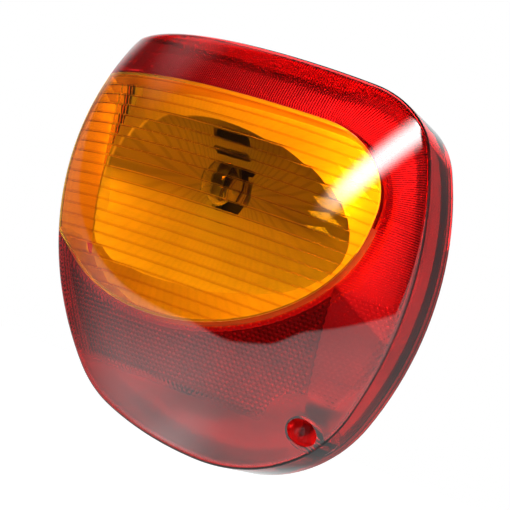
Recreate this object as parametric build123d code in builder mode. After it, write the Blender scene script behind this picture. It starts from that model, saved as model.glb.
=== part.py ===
"""Tail light cluster for the left rear corner of a car.

Frame: millimetres, Z up, X towards the middle of the car, Y into the body.
The origin is the axis of the fixing screw where it meets the body panel.
Sketches of the lamp are drawn as seen from behind the car, from the lens axis.
"""

from build123d import *
import os

os.makedirs("parts", exist_ok=True)

# Lens axis, measured from the fixing screw
SCREW_U = 89.0
SCREW_W = -99.0
AXIS_X = -SCREW_U
AXIS_Z = -SCREW_W

# Lamp outline as seen from behind, about the lens axis
TOP_LEFT = (-121.0, 102.0)
TOP_RIGHT = (90.0, 100.5)
LOW_RIGHT = (84.0, -129.5)
LOW_LEFT = (-43.5, -117.5)
TOP_BULGE = 1.0
RIGHT_BULGE = 35.5
LOW_BULGE = 10.7
LEFT_BULGE = 26.2
TOP_LEFT_RADIUS = 13.0
TOP_RIGHT_RADIUS = 47.0
LOW_RIGHT_RADIUS = 80.0
LOW_LEFT_RADIUS = 62.0

# Layers from the body panel to the front of the lens
GASKET_THICK = 4.0
FLANGE_THICK = 4.0
SEAL_THICK = 1.0
LENS_DEPTH = 88.0
FLANGE_BACK = -GASKET_THICK
FLANGE_FRONT = FLANGE_BACK - FLANGE_THICK
RIM_Y = FLANGE_FRONT - SEAL_THICK
FRONT_Y = RIM_Y - LENS_DEPTH

# Cuts start this far before a face, and far is past every edge of the lamp
CUT = 1.0
FAR = 200.0

# Lens form
PLAN_RADIUS = 180.0
SIDE_RADIUS = 230.0
LENS_WALL = 2.5
EDGE_ROLL = 9.0
OVERRUN = 10.0
REVOLVE_Y = FRONT_Y + PLAN_RADIUS

# Skirt of the lens round the edge of the housing, and the ledge that sits on the seal
SKIRT_END = -1.0
SKIRT_GAP = 0.5
LEDGE_THICK = 3.0
LEDGE_INSET = 6.0
SEAL_MARGIN = 0.2
FLANGE_INSET = LENS_WALL + SKIRT_GAP
GASKET_INSET = FLANGE_INSET + SEAL_MARGIN
GASKET_TUB_GAP = 1.0

# Amber window
WINDOW_TOP = 69.5
WINDOW_RIGHT = 95.5
WINDOW_CORNER = 43.0
WINDOW_CENTRE = (-10.5, 20.0)
WINDOW_HALF_HEIGHT = 85.5
WINDOW_HALF_WIDTH = WINDOW_RIGHT - WINDOW_CENTRE[0]
WINDOW_LEAVES = 235.0
WINDOW_PAST_EDGE = -135.0
WELD_GAP = 0.1
FOOT_RING = 8.0
AMBER_FOOT_Y = RIM_Y - FOOT_RING
WINDOW_WALL = 2.0
WINDOW_WALL_DEPTH = 24.0
COLLAR_DEPTH = 11.0

# Flutes inside the amber window: shallow bands with a narrow bead between
FLUTE_PITCH = 6.5
FLUTE_COUNT = 22
FLUTE_RISE = 0.15
BEAD_WIDE = 1.1
BEAD_RISE = 0.28
FLUTE_LIFT = 3.0
FLUTE_LOW = WINDOW_TOP - FLUTE_COUNT * FLUTE_PITCH + FLUTE_LIFT
FLUTE_COVER = 0.8

# Fixing screw and its tube through the lens
SCREW_HOLE_RADIUS = 3.2
COUNTERBORE_RADIUS = 7.4
TUBE_RADIUS = 9.4
TUBE_GAP = 1.5
LAND_HEIGHT = 2.0
TUBE_FLOOR = 4.0
TUBE_FOOT_Y = FLANGE_FRONT - LAND_HEIGHT
SCREW_SEAT_Y = TUBE_FOOT_Y - TUBE_FLOOR
BOSS_RADIUS = 5.0
LAND_RADIUS = 4.8

# Reflex plate welded behind the lower part of the red lens
REFLEX_THICK = 2.2
REFLEX_TOP = -18.0
REFLEX_FOOT = -97.0
REFLEX_RIGHT = 87.0
REFLEX_INSET = 12.5
REFLEX_WINDOW_GAP = 5.0
PART_GAP = 0.5

# Reflectors
TRAY_INSET = 14.0
TRAY_WALL = 2.0
BEZEL_DEPTH = 25.0
REFLECTOR_SPLIT = -64.0
SCREW_NOTCH = 18.0
NOTCH_CORNER = 4.0
INDICATOR_U = -22.0
INDICATOR_W = 24.0
STOP_U = -2.0
STOP_W = -88.0
BULB_HOLE_RADIUS = 15.0
BULB_HOLE_DEPTH = 30.0
INDICATOR_BOWL = (-22.0, 5.0, 35.0)
INDICATOR_BOWL_HALF = (104.0, 50.0)
STOP_BOWL = (-2.0, -90.0, 52.0)
STOP_BOWL_HALF = (62.0, 24.0)
VENTS = ((-19.0, 50.0, 26.0), (-21.5, 43.0, 27.0), (-12.0, 36.0, 13.0))
VENT_HEIGHT = 5.0
VENT_DEPTH = 48.0

# Housing tub and bulb carrier
TUB_INSET = 16.0
TUB_WALL = 2.5
FLOOR_FRONT = 9.5
FLOOR_BACK = FLOOR_FRONT + TUB_WALL
CARRIER_U = -12.0
CARRIER_W = -32.0
CARRIER_WIDE = 66.0
CARRIER_TALL = 156.0
CARRIER_CORNER = 9.0
CARRIER_THICK = 3.0
CARRIER_LAP = 4.0
CARRIER_SEAL_THICK = 1.0
CARRIER_SEAL_INSET = 0.6
CARRIER_FRONT = FLOOR_BACK + CARRIER_SEAL_THICK
CARRIER_BACK = CARRIER_FRONT + CARRIER_THICK
SPIGOT_GAP = 0.4
SPIGOT_WALL = 2.0
SPIGOT_Y = FLOOR_FRONT - 1.0

# Locating pegs that push into the body side
PEG_RADIUS = 4.0
PEG_LENGTH = 14.0
PEG_TIP = 1.5
PEG_SHOULDER_RADIUS = 4.8
PEG_INSET = 10.5
PEG_HEIGHTS = (62.0, -52.0)

# Snap hooks that hold the carrier
HOOK_WIDE = 12.0
HOOK_THICK = 2.2
HOOK_BARB = 1.6
HOOK_TIP = 2.4
HOOK_GAP = 0.3

# Bayonet sockets and bulbs
CAP_RADIUS = 7.5
SLEEVE_GAP = 0.2
SLEEVE_WALL = 0.5
SOCKET_GAP = 0.1
SOCKET_WALL = 2.2
SOCKET_FRONT = -2.0
SLEEVE_FRONT = SOCKET_FRONT - 1.0
CAP_LENGTH = 17.0
CAP_BACK = CARRIER_FRONT - 2.5
CAP_FRONT = CAP_BACK - CAP_LENGTH
CAP_WALL = 0.6
PIN_RADIUS = 1.0
PIN_REACH = 8.15
PIN_Y = -0.8
SLOT_GAP = 0.3
SLOT_LENGTH = 6.0
CAP_ROLL = 1.2
CAP_LIP = 1.5
GLASS_RADIUS = 13.0
GLASS_NECK = 6.6
GLASS_LENGTH = 35.5
GLASS_WALL = 0.7
CONTACT_RADIUS = 2.0
CONTACT_THICK = 0.8
CONTACT_SPACING = 6.4
FILAMENT_Y = CAP_FRONT - 14.0
FILAMENT_HALF = 3.2
FILAMENT_LIFT = 1.8
LEAD_RADIUS = 0.4
LEAD_HALF = 2.24
GLASS_BEAD_RADIUS = 3.0
GLASS_BEAD_LENGTH = 4.5
GLASS_BEAD_ROLL = 1.0
LEAD_SUNK = 1.0

# Flat conductors on the back of the carrier, and the socket for the car's plug
STRIP_WIDE = 3.0
STRIP_THICK = 0.6
CHANNEL_DEEP = 0.7
CHANNEL_GAP = 0.15
STRIP_FRONT = CARRIER_BACK - CHANNEL_DEEP
FEED_PIN_RADIUS = 1.5
FEED_HOLE_RADIUS = 1.8
EARTH_OFFSET = 7.0
BRAKE_TURN = 16.0
EARTH_TURN = 26.0
BLADE_WIDE = 2.8
BLADE_THICK = 0.8
BLADE_END = CARRIER_BACK + 11.5
BLADE_PITCH = 5.4
PLUG_WIDE = 27.0
PLUG_TALL = 12.0
PLUG_WALL = 1.8
PLUG_DEPTH = 18.0


def facing(y):
    """Plane at y, seen from behind the car, centred on the lens axis."""
    return Plane(origin=(AXIS_X, y, AXIS_Z), x_dir=(1, 0, 0), z_dir=(0, -1, 0))


CORNERS = (TOP_LEFT, TOP_RIGHT, LOW_RIGHT, LOW_LEFT)
CORNER_RADII = (TOP_LEFT_RADIUS, TOP_RIGHT_RADIUS, LOW_RIGHT_RADIUS, LOW_LEFT_RADIUS)
BULGES = (TOP_BULGE, RIGHT_BULGE, LOW_BULGE, LEFT_BULGE)
LEAST_CORNER = 3.0


def side_arc(k):
    """Centre, radius and outward direction of one side of the lamp outline."""
    start, end = Vector(CORNERS[k]), Vector(CORNERS[(k + 1) % 4])
    along = end - start
    outward = Vector(-along.Y, along.X).normalized()
    radius = (along.length**2 / 4 + BULGES[k] ** 2) / (2 * BULGES[k])
    return (start + end) * 0.5 + outward * (BULGES[k] - radius), radius, outward


def inset_corner(k, inset):
    """Point where two neighbouring sides meet once both are pulled in."""
    centre_a, radius_a, _ = side_arc(k - 1)
    centre_b, radius_b, _ = side_arc(k)
    radius_a, radius_b = radius_a - inset, radius_b - inset
    apart = (centre_b - centre_a).length
    along = (centre_b - centre_a).normalized()
    reach = (apart**2 + radius_a**2 - radius_b**2) / (2 * apart)
    rise = (radius_a**2 - reach**2) ** 0.5
    across = Vector(-along.Y, along.X) * rise
    options = [centre_a + along * reach + across, centre_a + along * reach - across]
    return min(options, key=lambda point: (point - Vector(CORNERS[k])).length)


def left_side(height, inset):
    """Point at a height, pulled in from the left side of the lamp outline."""
    centre, radius, _ = side_arc(3)
    reach = radius - inset
    return centre.X - (reach**2 - (height - centre.Y) ** 2) ** 0.5, height


PEGS = [left_side(height, PEG_INSET) for height in PEG_HEIGHTS]


def lamp_outline(y, inset=0.0, low=-FAR, high=FAR):
    """Lamp outline at y, pulled in by inset and kept between two heights."""
    corners = [inset_corner(k, inset) for k in range(4)]
    with BuildSketch(facing(y)) as sketch:
        with BuildLine():
            for k in range(4):
                centre, radius, outward = side_arc(k)
                ThreePointArc(corners[k], centre + outward * (radius - inset), corners[(k + 1) % 4])
        make_face()
        for corner, radius in zip(corners, CORNER_RADII):
            nearest = sketch.vertices().sort_by_distance(corner)[0]
            fillet(nearest, max(radius - inset, LEAST_CORNER))
        if low > -FAR or high < FAR:
            with Locations((0, (low + high) / 2)):
                Rectangle(2 * FAR, high - low, mode=Mode.INTERSECT)
    return sketch.sketch


def screw_corner(y, grow):
    """Corner of the lamp that is left free for the screw tube, grown by grow."""
    reach = SCREW_NOTCH + grow
    with BuildSketch(facing(y)) as sketch:
        with Locations((SCREW_U - reach + FAR / 2, SCREW_W + reach - FAR / 2)):
            RectangleRounded(FAR, FAR, NOTCH_CORNER + grow)
    return sketch.sketch


def window_outline(y, grow=0.0):
    """Amber window at y, grown all round, open past the outer edge of the lamp."""
    top, right, corner = WINDOW_TOP + grow, WINDOW_RIGHT + grow, WINDOW_CORNER + grow
    half_width, half_height = WINDOW_HALF_WIDTH + grow, WINDOW_HALF_HEIGHT + grow
    with BuildSketch(facing(y)) as sketch:
        with BuildLine():
            low_edge = EllipticalCenterArc(
                WINDOW_CENTRE,
                half_width,
                half_height,
                start_angle=WINDOW_LEAVES,
                arc_size=360 - WINDOW_LEAVES,
            )
            start, along = low_edge @ 0, low_edge % 0
            past_edge = start - along * ((start.X - WINDOW_PAST_EDGE) / along.X)
            Polyline(start, past_edge, (WINDOW_PAST_EDGE, top), (right - corner, top))
            RadiusArc((right - corner, top), (right, top - corner), corner)
            Line((right, top - corner), (right, WINDOW_CENTRE[1]))
        make_face()
    return sketch.sketch


def round_at(y, u, w, radius):
    """Circle at y about the point u, w of the lamp."""
    with BuildSketch(facing(y)) as sketch:
        with Locations((u, w)):
            Circle(radius)
    return sketch.sketch


def bar_at(y, u, w, wide, tall):
    """Rectangle at y about the point u, w of the lamp."""
    with BuildSketch(facing(y)) as sketch:
        with Locations((u, w)):
            Rectangle(wide, tall)
    return sketch.sketch


def carrier_outline(y, inset=0.0):
    """Bulb carrier plate at y, pulled in by inset."""
    with BuildSketch(facing(y)) as sketch:
        with Locations((CARRIER_U, CARRIER_W)):
            RectangleRounded(
                CARRIER_WIDE - 2 * inset, CARRIER_TALL - 2 * inset, CARRIER_CORNER - inset
            )
    return sketch.sketch


REVOLVE_AXIS = Axis((AXIS_X, REVOLVE_Y, AXIS_Z), (0, 0, 1))
REVOLVE_PLANE = Plane(origin=(AXIS_X, REVOLVE_Y, AXIS_Z), x_dir=(0, 1, 0), z_dir=(1, 0, 0))
PROFILE_LOW = -150.0
PROFILE_HIGH = 125.0


def crown_point(below, height):
    """Point of the lens crown, below its outer face, at a height."""
    reach = ((SIDE_RADIUS - below) ** 2 - height**2) ** 0.5
    return (PLAN_RADIUS - SIDE_RADIUS + reach, height)


def crown_profile(below):
    """Half section of the body of revolution that lies below the lens crown."""
    with BuildSketch(REVOLVE_PLANE) as sketch:
        with BuildLine():
            ThreePointArc(
                crown_point(below, PROFILE_LOW),
                crown_point(below, 0),
                crown_point(below, PROFILE_HIGH),
            )
            Polyline(
                crown_point(below, PROFILE_HIGH),
                (0, PROFILE_HIGH),
                (0, PROFILE_LOW),
                crown_point(below, PROFILE_LOW),
            )
        make_face()
    return sketch.sketch


def lens_body(inset):
    """Form of the lens with its crown, walls and rolled edge pulled in by inset."""
    with BuildPart() as body:
        extrude(lamp_outline(SKIRT_END, inset), amount=SKIRT_END - FRONT_Y + OVERRUN)
        revolve(crown_profile(inset), axis=REVOLVE_AXIS, mode=Mode.INTERSECT)
        fillet(body.faces().sort_by(Axis.Y)[0].edges(), EDGE_ROLL - inset)
    return body.part


lens_form = lens_body(0)
lens_middle = lens_body(LENS_WALL / 2)
lens_space = lens_body(LENS_WALL)

# Fluted band that lines the amber window
FLUTE_DEPTH = LENS_WALL + FLUTE_COVER
FLUTE_HIGH = FLUTE_LOW + FLUTE_COUNT * FLUTE_PITCH
with BuildPart() as flute_band:
    with BuildSketch(REVOLVE_PLANE):
        with BuildLine():
            for k in range(FLUTE_COUNT):
                bead_top = FLUTE_LOW + k * FLUTE_PITCH + BEAD_WIDE
                band_top = FLUTE_LOW + (k + 1) * FLUTE_PITCH
                bead_start = crown_point(FLUTE_DEPTH, bead_top - BEAD_WIDE)
                band_start = crown_point(FLUTE_DEPTH, bead_top)
                SagittaArc(bead_start, band_start, BEAD_RISE)
                SagittaArc(band_start, crown_point(FLUTE_DEPTH, band_top), FLUTE_RISE)
            Line(crown_point(FLUTE_DEPTH, FLUTE_HIGH), crown_point(LENS_WALL / 2, FLUTE_HIGH))
            ThreePointArc(
                crown_point(LENS_WALL / 2, FLUTE_HIGH),
                crown_point(LENS_WALL / 2, (FLUTE_HIGH + FLUTE_LOW) / 2),
                crown_point(LENS_WALL / 2, FLUTE_LOW),
            )
            Line(crown_point(LENS_WALL / 2, FLUTE_LOW), crown_point(FLUTE_DEPTH, FLUTE_LOW))
        make_face()
    revolve(axis=REVOLVE_AXIS)
    extrude(window_outline(RIM_Y, -WINDOW_WALL / 2), amount=LENS_DEPTH, mode=Mode.INTERSECT)
    extrude(lamp_outline(RIM_Y, EDGE_ROLL + CUT), amount=LENS_DEPTH, mode=Mode.INTERSECT)

# Collar of the red lens round the window
with BuildPart() as window_collar:
    extrude(window_outline(AMBER_FOOT_Y, WELD_GAP + WINDOW_WALL), amount=LENS_DEPTH)
    extrude(
        window_outline(AMBER_FOOT_Y + CUT, WELD_GAP),
        amount=LENS_DEPTH + 2 * CUT,
        mode=Mode.SUBTRACT,
    )
    add(lens_middle, mode=Mode.INTERSECT)
    revolve(crown_profile(COLLAR_DEPTH), axis=REVOLVE_AXIS, mode=Mode.SUBTRACT)

# Tube for the fixing screw
with BuildPart() as screw_tube:
    extrude(round_at(TUBE_FOOT_Y, SCREW_U, SCREW_W, TUBE_RADIUS), amount=LENS_DEPTH)
    add(lens_middle, mode=Mode.INTERSECT)

# Ledge inside the skirt, which sits on the seal
with BuildPart() as ledge:
    extrude(lamp_outline(RIM_Y, LENS_WALL / 2), amount=LEDGE_THICK)
    for opening in (
        lamp_outline(RIM_Y + CUT, LEDGE_INSET),
        round_at(RIM_Y + CUT, SCREW_U, SCREW_W, LAND_RADIUS + PART_GAP),
    ):
        extrude(opening, amount=LEDGE_THICK + 2 * CUT, mode=Mode.SUBTRACT)

# Red lens
with BuildPart() as red_lens:
    add(lens_form)
    add(lens_space, mode=Mode.SUBTRACT)
    extrude(
        window_outline(AMBER_FOOT_Y + WELD_GAP, WELD_GAP),
        amount=LENS_DEPTH + 2 * CUT,
        mode=Mode.SUBTRACT,
    )
    add(window_collar.part)
    add(ledge.part)
    add(screw_tube.part)
    extrude(
        round_at(SCREW_SEAT_Y, SCREW_U, SCREW_W, COUNTERBORE_RADIUS),
        amount=LENS_DEPTH,
        mode=Mode.SUBTRACT,
    )
    extrude(
        round_at(0, SCREW_U, SCREW_W, SCREW_HOLE_RADIUS), amount=LENS_DEPTH, mode=Mode.SUBTRACT
    )
red_lens.part.label = "red_lens"
export_step(red_lens.part, "parts/red_lens.step")

# Wall round the amber window
with BuildPart() as amber_wall:
    extrude(window_outline(AMBER_FOOT_Y), amount=LENS_DEPTH)
    extrude(
        window_outline(AMBER_FOOT_Y + CUT, -WINDOW_WALL),
        amount=LENS_DEPTH + 2 * CUT,
        mode=Mode.SUBTRACT,
    )
    add(lens_middle, mode=Mode.INTERSECT)
    revolve(crown_profile(WINDOW_WALL_DEPTH), axis=REVOLVE_AXIS, mode=Mode.SUBTRACT)

# Amber lens
with BuildPart() as amber_lens:
    extrude(window_outline(AMBER_FOOT_Y), amount=LENS_DEPTH)
    add(lens_form, mode=Mode.INTERSECT)
    add(lens_space, mode=Mode.SUBTRACT)
    add(flute_band.part)
    add(amber_wall.part)
amber_lens.part.label = "amber_lens"
export_step(amber_lens.part, "parts/amber_lens.step")

# Reflex plate
with BuildPart() as reflex_plate:
    extrude(lamp_outline(RIM_Y, REFLEX_INSET, REFLEX_FOOT, REFLEX_TOP), amount=LENS_DEPTH)
    for opening in (
        bar_at(RIM_Y + CUT, REFLEX_RIGHT + FAR, 0, 2 * FAR, 2 * FAR),
        window_outline(RIM_Y + CUT, REFLEX_WINDOW_GAP),
        round_at(RIM_Y + CUT, SCREW_U, SCREW_W, TUBE_RADIUS + TUBE_GAP),
    ):
        extrude(opening, amount=LENS_DEPTH + 2 * CUT, mode=Mode.SUBTRACT)
    revolve(crown_profile(LENS_WALL + WELD_GAP), axis=REVOLVE_AXIS, mode=Mode.INTERSECT)
    revolve(crown_profile(LENS_WALL + WELD_GAP + REFLEX_THICK), axis=REVOLVE_AXIS, mode=Mode.SUBTRACT)
reflex_plate.part.label = "reflex_plate"
export_step(reflex_plate.part, "parts/reflex_plate.step")

# Seal between lens and housing
with BuildPart() as lens_seal:
    extrude(lamp_outline(FLANGE_FRONT, FLANGE_INSET + SEAL_MARGIN), amount=SEAL_THICK)
    for opening in (
        lamp_outline(FLANGE_FRONT + CUT, LEDGE_INSET - SEAL_MARGIN),
        round_at(FLANGE_FRONT + CUT, SCREW_U, SCREW_W, LAND_RADIUS + PART_GAP),
    ):
        extrude(opening, amount=SEAL_THICK + 2 * CUT, mode=Mode.SUBTRACT)
lens_seal.part.label = "lens_seal"
export_step(lens_seal.part, "parts/lens_seal.step")

# Housing
with BuildPart() as housing:
    extrude(lamp_outline(FLANGE_BACK, FLANGE_INSET), amount=FLANGE_THICK)
    extrude(lamp_outline(FLOOR_BACK, TUB_INSET), amount=FLOOR_BACK - FLANGE_BACK)
    fillet(housing.faces().sort_by(Axis.Y)[-1].edges(), TUB_WALL)
    extrude(
        lamp_outline(FLOOR_FRONT, TUB_INSET + TUB_WALL),
        amount=FLOOR_FRONT - FLANGE_FRONT + CUT,
        mode=Mode.SUBTRACT,
    )
    extrude(
        carrier_outline(FLOOR_BACK + CUT, CARRIER_LAP),
        amount=FLOOR_BACK - FLOOR_FRONT + 2 * CUT,
        mode=Mode.SUBTRACT,
    )
    extrude(round_at(0, SCREW_U, SCREW_W, BOSS_RADIUS), amount=-FLANGE_FRONT)
    extrude(round_at(FLANGE_FRONT, SCREW_U, SCREW_W, LAND_RADIUS), amount=LAND_HEIGHT)
    for peg_u, peg_w in PEGS:
        extrude(round_at(0, peg_u, peg_w, PEG_SHOULDER_RADIUS), amount=GASKET_THICK)
        extrude(round_at(0, peg_u, peg_w, PEG_RADIUS), amount=-PEG_LENGTH)
    peg_ends = housing.faces().sort_by(Axis.Y)[-len(PEGS):]
    chamfer(peg_ends.edges(), PEG_TIP)
    for side in (-1, 1):
        edge_w = CARRIER_W + side * (CARRIER_TALL / 2 + HOOK_GAP)
        extrude(
            bar_at(FLOOR_BACK, CARRIER_U, edge_w + side * HOOK_THICK / 2, HOOK_WIDE, HOOK_THICK),
            amount=-(CARRIER_BACK + HOOK_GAP + HOOK_TIP - FLOOR_BACK),
        )
        extrude(
            bar_at(
                CARRIER_BACK + HOOK_GAP,
                CARRIER_U,
                edge_w + side * (HOOK_THICK - HOOK_BARB) / 2,
                HOOK_WIDE,
                HOOK_THICK + HOOK_BARB,
            ),
            amount=-HOOK_TIP,
        )
    extrude(
        round_at(CUT, SCREW_U, SCREW_W, SCREW_HOLE_RADIUS),
        amount=2 * CUT - TUBE_FOOT_Y,
        mode=Mode.SUBTRACT,
    )
housing.part.label = "housing"
export_step(housing.part, "parts/housing.step")

# Foam gasket against the body panel
with BuildPart() as body_gasket:
    extrude(lamp_outline(0, GASKET_INSET), amount=GASKET_THICK)
    openings = [
        lamp_outline(CUT, TUB_INSET - GASKET_TUB_GAP),
        round_at(CUT, SCREW_U, SCREW_W, BOSS_RADIUS + PART_GAP),
    ]
    for peg_u, peg_w in PEGS:
        openings.append(round_at(CUT, peg_u, peg_w, PEG_SHOULDER_RADIUS + PART_GAP))
    for opening in openings:
        extrude(opening, amount=GASKET_THICK + 2 * CUT, mode=Mode.SUBTRACT)
body_gasket.part.label = "body_gasket"
export_step(body_gasket.part, "parts/body_gasket.step")


def bowl(centre, half, grow):
    """Reflector bowl, an ellipsoid turned about a level line across the lamp."""
    with BuildSketch(facing(FRONT_Y + centre[2])) as sketch:
        with BuildLine():
            EllipticalCenterArc(
                centre[:2], half[0] + grow, half[1] + grow, start_angle=0, arc_size=180
            )
            Line(
                (centre[0] - half[0] - grow, centre[1]),
                (centre[0] + half[0] + grow, centre[1]),
            )
        make_face()
    return sketch.sketch


def bowl_axis(centre):
    """Level line that a reflector bowl is turned about."""
    return Axis((AXIS_X + centre[0], FRONT_Y + centre[2], AXIS_Z + centre[1]), (1, 0, 0))


def reflector_block(low, high, inset, below):
    """Block behind the lens from the flange to a face parallel to the crown."""
    with BuildPart() as block:
        extrude(lamp_outline(FLANGE_FRONT, TRAY_INSET + inset, low, high), amount=LENS_DEPTH)
        extrude(
            screw_corner(FLANGE_FRONT + CUT, inset), amount=LENS_DEPTH + 2 * CUT, mode=Mode.SUBTRACT
        )
        revolve(crown_profile(below), axis=REVOLVE_AXIS, mode=Mode.INTERSECT)
    return block.part


def reflector_parts(low, high, centre, half):
    """Tray, the space behind it, bowl and skirt of a reflector."""
    tray = reflector_block(low, high, 0, BEZEL_DEPTH)
    space = reflector_block(
        low + TRAY_WALL, high - TRAY_WALL, TRAY_WALL, BEZEL_DEPTH + TRAY_WALL
    )
    with BuildPart() as dish:
        revolve(bowl(centre, half, TRAY_WALL), axis=bowl_axis(centre))
        add(tray, mode=Mode.INTERSECT)
    with BuildPart() as core:
        extrude(
            lamp_outline(
                FLANGE_FRONT + CUT, TRAY_INSET + TRAY_WALL, low + TRAY_WALL, high - TRAY_WALL
            ),
            amount=LENS_DEPTH + 2 * CUT,
        )
        extrude(
            screw_corner(FLANGE_FRONT + 2 * CUT, TRAY_WALL),
            amount=LENS_DEPTH + 4 * CUT,
            mode=Mode.SUBTRACT,
        )
    with BuildPart() as skirt:
        add(tray)
        add(core.part, mode=Mode.SUBTRACT)
    return tray, space, dish.part, skirt.part


# Indicator reflector
tray, space, dish, skirt = reflector_parts(
    REFLECTOR_SPLIT, FAR, INDICATOR_BOWL, INDICATOR_BOWL_HALF
)
with BuildPart() as indicator_reflector:
    add(tray)
    add(space, mode=Mode.SUBTRACT)
    add(dish)
    revolve(
        bowl(INDICATOR_BOWL, INDICATOR_BOWL_HALF, 0),
        axis=bowl_axis(INDICATOR_BOWL),
        mode=Mode.SUBTRACT,
    )
    add(skirt)
    extrude(
        round_at(FLANGE_FRONT, INDICATOR_U, INDICATOR_W, BULB_HOLE_RADIUS),
        amount=BULB_HOLE_DEPTH,
        mode=Mode.SUBTRACT,
    )
    for vent_u, vent_w, vent_wide in VENTS:
        with BuildSketch(facing(FLANGE_FRONT)):
            with Locations((vent_u, vent_w)):
                SlotOverall(vent_wide, VENT_HEIGHT)
        extrude(amount=VENT_DEPTH, mode=Mode.SUBTRACT)
indicator_reflector.part.label = "indicator_reflector"
export_step(indicator_reflector.part, "parts/indicator_reflector.step")

# Stop and tail reflector
tray, space, dish, skirt = reflector_parts(
    -FAR, REFLECTOR_SPLIT - PART_GAP, STOP_BOWL, STOP_BOWL_HALF
)
with BuildPart() as stop_reflector:
    add(tray)
    add(space, mode=Mode.SUBTRACT)
    add(dish)
    revolve(bowl(STOP_BOWL, STOP_BOWL_HALF, 0), axis=bowl_axis(STOP_BOWL), mode=Mode.SUBTRACT)
    add(skirt)
    extrude(
        round_at(FLANGE_FRONT, STOP_U, STOP_W, BULB_HOLE_RADIUS),
        amount=BULB_HOLE_DEPTH,
        mode=Mode.SUBTRACT,
    )
stop_reflector.part.label = "stop_reflector"
export_step(stop_reflector.part, "parts/stop_reflector.step")

# Conductor runs on the back of the carrier, each a chain of straight bars
PLUG_U = CARRIER_U
PLUG_W = CARRIER_W
BLADE_U = [PLUG_U + (k - 1.5) * BLADE_PITCH for k in range(4)]
TAIL_U = STOP_U - CONTACT_SPACING / 2
BRAKE_U = STOP_U + CONTACT_SPACING / 2
SLEEVE_RADIUS = CAP_RADIUS + SLEEVE_GAP + SLEEVE_WALL
EARTH_U = STOP_U + SLEEVE_RADIUS + EARTH_OFFSET
BRAKE_TURN_W = STOP_W + BRAKE_TURN
EARTH_TURN_W = STOP_W + EARTH_TURN
EARTH_TAP = SLEEVE_RADIUS - SLEEVE_WALL / 2
INDICATOR_RUN = [(BLADE_U[0], PLUG_W), (BLADE_U[0], INDICATOR_W), (INDICATOR_U, INDICATOR_W)]
TAIL_RUN = [(BLADE_U[1], PLUG_W), (BLADE_U[1], STOP_W), (TAIL_U, STOP_W)]
BRAKE_RUN = [
    (BLADE_U[2], PLUG_W),
    (BLADE_U[2], BRAKE_TURN_W),
    (BRAKE_U, BRAKE_TURN_W),
    (BRAKE_U, STOP_W),
]
EARTH_UP = [(BLADE_U[3], PLUG_W), (BLADE_U[3], INDICATOR_W), (INDICATOR_U + EARTH_TAP, INDICATOR_W)]
EARTH_DOWN = [
    (BLADE_U[3], PLUG_W),
    (BLADE_U[3], EARTH_TURN_W),
    (EARTH_U, EARTH_TURN_W),
    (EARTH_U, STOP_W),
    (STOP_U + EARTH_TAP, STOP_W),
]


def run_bars(y, run, wide):
    """Flat bars at y along a run of points, square at the corners."""
    with BuildSketch(facing(y)) as sketch:
        for (u0, w0), (u1, w1) in zip(run[:-1], run[1:]):
            with Locations(((u0 + u1) / 2, (w0 + w1) / 2)):
                Rectangle(abs(u1 - u0) + wide, abs(w1 - w0) + wide)
    return sketch.sketch


# Bulb carrier
CARRIER_RUNS = (INDICATOR_RUN, TAIL_RUN, BRAKE_RUN, EARTH_UP, EARTH_DOWN)
FEEDS = ((INDICATOR_U, INDICATOR_W), (TAIL_U, STOP_W), (BRAKE_U, STOP_W))
EARTHS = ((INDICATOR_U + EARTH_TAP, INDICATOR_W), (STOP_U + EARTH_TAP, STOP_W))
SOCKETS = ((INDICATOR_U, INDICATOR_W), (STOP_U, STOP_W))
with BuildPart() as bulb_carrier:
    extrude(carrier_outline(CARRIER_BACK), amount=CARRIER_THICK)
    extrude(carrier_outline(CARRIER_FRONT, CARRIER_LAP + SPIGOT_GAP), amount=CARRIER_FRONT - SPIGOT_Y)
    extrude(
        carrier_outline(CARRIER_FRONT, CARRIER_LAP + SPIGOT_GAP + SPIGOT_WALL),
        amount=CARRIER_FRONT - SPIGOT_Y + CUT,
        mode=Mode.SUBTRACT,
    )
    for socket_u, socket_w in SOCKETS:
        extrude(
            round_at(CARRIER_FRONT, socket_u, socket_w, SLEEVE_RADIUS + SOCKET_GAP + SOCKET_WALL),
            amount=CARRIER_FRONT - SOCKET_FRONT,
        )
        extrude(
            round_at(CARRIER_FRONT, socket_u, socket_w, SLEEVE_RADIUS + SOCKET_GAP),
            amount=CARRIER_FRONT - SOCKET_FRONT + CUT,
            mode=Mode.SUBTRACT,
        )
    extrude(
        bar_at(CARRIER_BACK, PLUG_U, PLUG_W, PLUG_WIDE + 2 * PLUG_WALL, PLUG_TALL + 2 * PLUG_WALL),
        amount=-PLUG_DEPTH,
    )
    plug_middle = CARRIER_BACK + PLUG_DEPTH / 2
    fillet(
        bulb_carrier.edges().filter_by(Axis.Y).filter_by_position(
            Axis.Y, plug_middle - CUT, plug_middle + CUT
        ),
        PLUG_WALL,
    )
    extrude(
        bar_at(CARRIER_BACK, PLUG_U, PLUG_W, PLUG_WIDE, PLUG_TALL),
        amount=-PLUG_DEPTH - CUT,
        mode=Mode.SUBTRACT,
    )
    for run in CARRIER_RUNS:
        extrude(
            run_bars(STRIP_FRONT, run, STRIP_WIDE + 2 * CHANNEL_GAP),
            amount=-CHANNEL_DEEP,
            mode=Mode.SUBTRACT,
        )
    for feed_u, feed_w in FEEDS + EARTHS:
        extrude(
            round_at(CARRIER_BACK + CUT, feed_u, feed_w, FEED_HOLE_RADIUS),
            amount=CARRIER_THICK + 2 * CUT,
            mode=Mode.SUBTRACT,
        )
bulb_carrier.part.label = "bulb_carrier"
export_step(bulb_carrier.part, "parts/bulb_carrier.step")

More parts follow.
